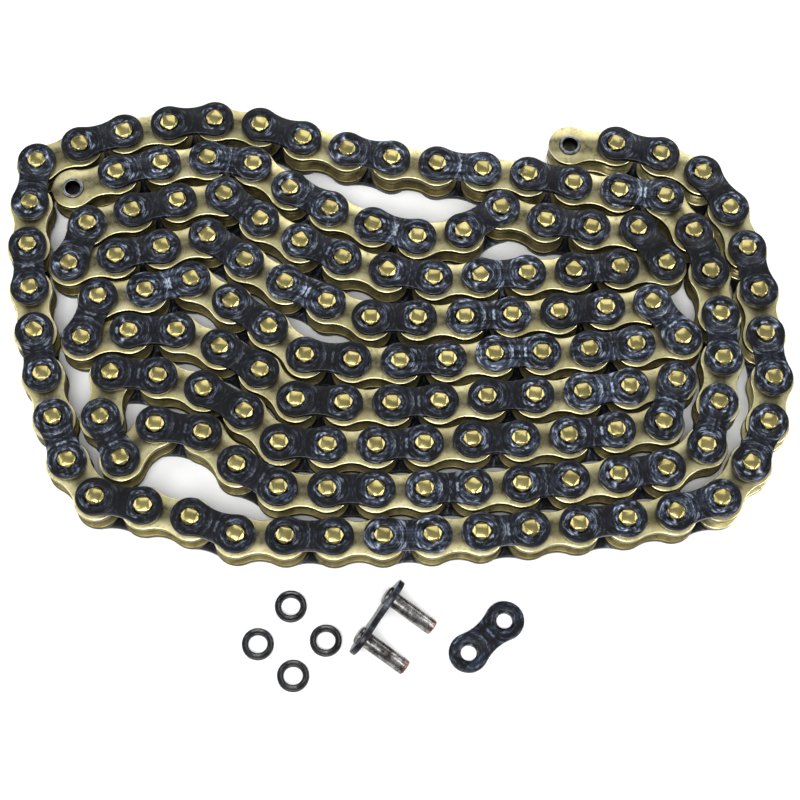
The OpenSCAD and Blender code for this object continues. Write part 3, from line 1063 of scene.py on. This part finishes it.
for name, links in inner_links.items():
    if name != "packed":
        both = plates(links, INNER_FACE, 1) + plates(links, INNER_FACE, -1)
        copied(f"{name}_plates", [(INNER_PLATE, both)], INNER_FINISH, name,
               f"{name}_inner_plates")
        copied(f"{name}_bush_pair", [(BUSH, at_ends(links))], BUSH_FINISH, name,
               f"{name}_bushes")
        for roller in (f"{name}_roller_a", f"{name}_roller_b"):
            low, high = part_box(roller)
            place = near(at_ends(links), (low + high) / 2)
            copied(f"{roller}_ground", [(ROLLER, [place])], ROLLER_FINISH, roller, roller)
for name, links in outer_links.items():
    if name != "packed":
        both = plates(links, OUTER_FACE, 1) + plates(links, OUTER_FACE, -1)
        copied(f"{name}_plates", [(OUTER_PLATE, both)], OUTER_FINISH, name,
               f"{name}_outer_plates")
        copied(f"{name}_pin_pair", [(PIN, at_ends(links, twist=struck))], PIN_FINISH, name,
               f"{name}_pins")
        height = (SEAL_FACE + SEAL_BACK) / 2
        both = at_ends(links, height) + at_ends(links, -height)
        copied(f"{name}_seal_rings", [(FITTED_SEAL, both)], SEAL_FINISH, name,
               f"{name}_seals")
print("copies with the free end:", copies_made)

# %% [markdown]
# The connecting link lies in front, loose: a plate with its two pins, the cover plate that goes on
# last, and four new sealing rings. The cover plate lies between the mounts of its two holes, and the
# rings lie at the middles of their boxes.

# %% The connecting link
centre = Matrix.Translation((0, 0, 0))
copied("pin_plate", [(OUTER_PLATE, [STANDING])], COVER_FINISH, "pin_plate",
       "connecting_plate")
copied("rivet_pins",
       [(CONNECTING_PIN, [STANDING @ Matrix.Translation((x, 0, 0)) for x in (-PITCH / 2, PITCH / 2)])],
       RIVET_FINISH, "pin_plate", "connecting_pins")
ends = [Vector(mounts[f"cover_plate_hole_{end}"]["pos_m"]) for end in ("front", "back")]
cover_place = frame_of(ends)
cover_place.translation.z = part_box("cover_plate")[0].z
copied("cover_plate_blued", [(OUTER_PLATE, [cover_place])], COVER_FINISH, "cover_plate",
       "cover_plate")
for number in range(1, 5):
    low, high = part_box(f"seal_ring_{number}")
    copied(f"loose_ring_{number}", [(LOOSE_RING, [Matrix.Translation((low + high) / 2)])],
           SEAL_FINISH, f"seal_ring_{number}", f"seal_ring_{number}")
print("copies in all:", copies_made)

# %% [markdown]
# ## Floor, light and camera
#
# The set lies on a sheet of white acrylic that is lit from below, as catalogue sets often are. It is
# far wider than the chain, so its edge shows only in very low views, as a far horizon. Its own light
# keeps the shadows faint, and its matt face reflects hardly anything.

# %% The floor
bm = bmesh.new()
rim = [bm.verts.new(point) for point in circle(4.0, 0, 96)]
bm.faces.new(rim)
mesh = bpy.data.meshes.new("floor")
bm.to_mesh(mesh)
bm.free()
floor = bpy.data.objects.new("floor", mesh)
bpy.context.scene.collection.objects.link(floor)
board = bpy.data.materials.new("white_acrylic_lit_from_below")
board.use_nodes = True
board_shader = board.node_tree.nodes["Principled BSDF"]
board_shader.inputs["Base Color"].default_value = colour("#f7f7f5")
board_shader.inputs["Roughness"].default_value = 0.9
board_shader.inputs["Specular IOR Level"].default_value = 0.1
board_shader.inputs["Emission Color"].default_value = colour("#ffffff")
board_shader.inputs["Emission Strength"].default_value = 0.05
mesh.materials.append(board)

# %% [markdown]
# The light is a room that is brightest overhead and dim towards the horizon, with soft boxes. Large
# lights give soft shadows, and a satin black part is seen mostly by what it reflects. The dim horizon
# leaves the front and back flats of every struck pin head dark, the low boxes at the sides light the
# other two, and the box at the front right puts a bright corner on the heads that are turned to it.

# %% Room and soft boxes
def soft_box(name, place, size, power, target=(0, 0, 0)):
    """A square area light that faces a target."""
    light = bpy.data.lights.new(name, "AREA")
    light.shape = "SQUARE"
    light.size = size
    light.energy = power
    lamp = bpy.data.objects.new(name, light)
    lamp.location = place
    lamp.rotation_euler = (Vector(target) - Vector(place)).to_track_quat("-Z", "Y").to_euler()
    bpy.context.scene.collection.objects.link(lamp)
    return lamp


world = bpy.data.worlds.new("pale_room")
bpy.context.scene.world = world
world.use_nodes = True
room = world.node_tree
way = add(room, "ShaderNodeTexCoord")
up = add(room, "ShaderNodeSeparateXYZ", {"Vector": way.outputs["Generated"]})
above = add(room, "ShaderNodeMapRange", {
    "Value": up.outputs["Z"], "From Min": 0.15, "From Max": 0.95, "To Min": 0.24, "To Max": 0.54,
})
room.nodes["Background"].inputs["Color"].default_value = colour("#f1f5fb")
room.links.new(above.outputs[0], room.nodes["Background"].inputs["Strength"])
soft_box("front_right_box", (0.95, -0.38, 0.65), 0.5, 7.0)
soft_box("front_box", (-0.10, -0.62, 1.20), 0.7, 16.0)
soft_box("left_box", (-1.0, -0.1, 0.9), 0.9, 6.0)
soft_box("back_box", (0.1, 1.0, 0.7), 0.9, 5.0)
soft_box("low_right_box", (1.15, 0.45, 0.40), 0.6, 5.0)
soft_box("low_left_box", (-1.15, 0.45, 0.40), 0.6, 5.0)
bpy.context.scene.view_settings.view_transform = "Standard"

# %% [markdown]
# The camera looks down steeply from the front, through a long lens, so that the rows hardly converge.
# Its direction, small roll, lens, distance and aim were fitted, so that a pitch is foreshortened
# along the rows and across them as it is when the real set is looked at.

# %% The camera
ELEVATION, ROLL, DISTANCE = math.radians(69.8), math.radians(1.9), 0.648
aim = Vector((0.0024, -0.0076, MIDDLE + HEAD_TOP))
camera_data = bpy.data.cameras.new("camera")
camera_data.sensor_width = 36.0
camera_data.lens = 88.5
camera = bpy.data.objects.new("camera", camera_data)
behind = Vector((0, -math.cos(ELEVATION), math.sin(ELEVATION)))
facing = behind.to_track_quat("Z", "Y").to_matrix().to_4x4() @ Matrix.Rotation(ROLL, 4, "Z")
camera.matrix_world = Matrix.Translation(aim + DISTANCE * behind) @ facing
bpy.context.scene.collection.objects.link(camera)
bpy.context.scene.camera = camera
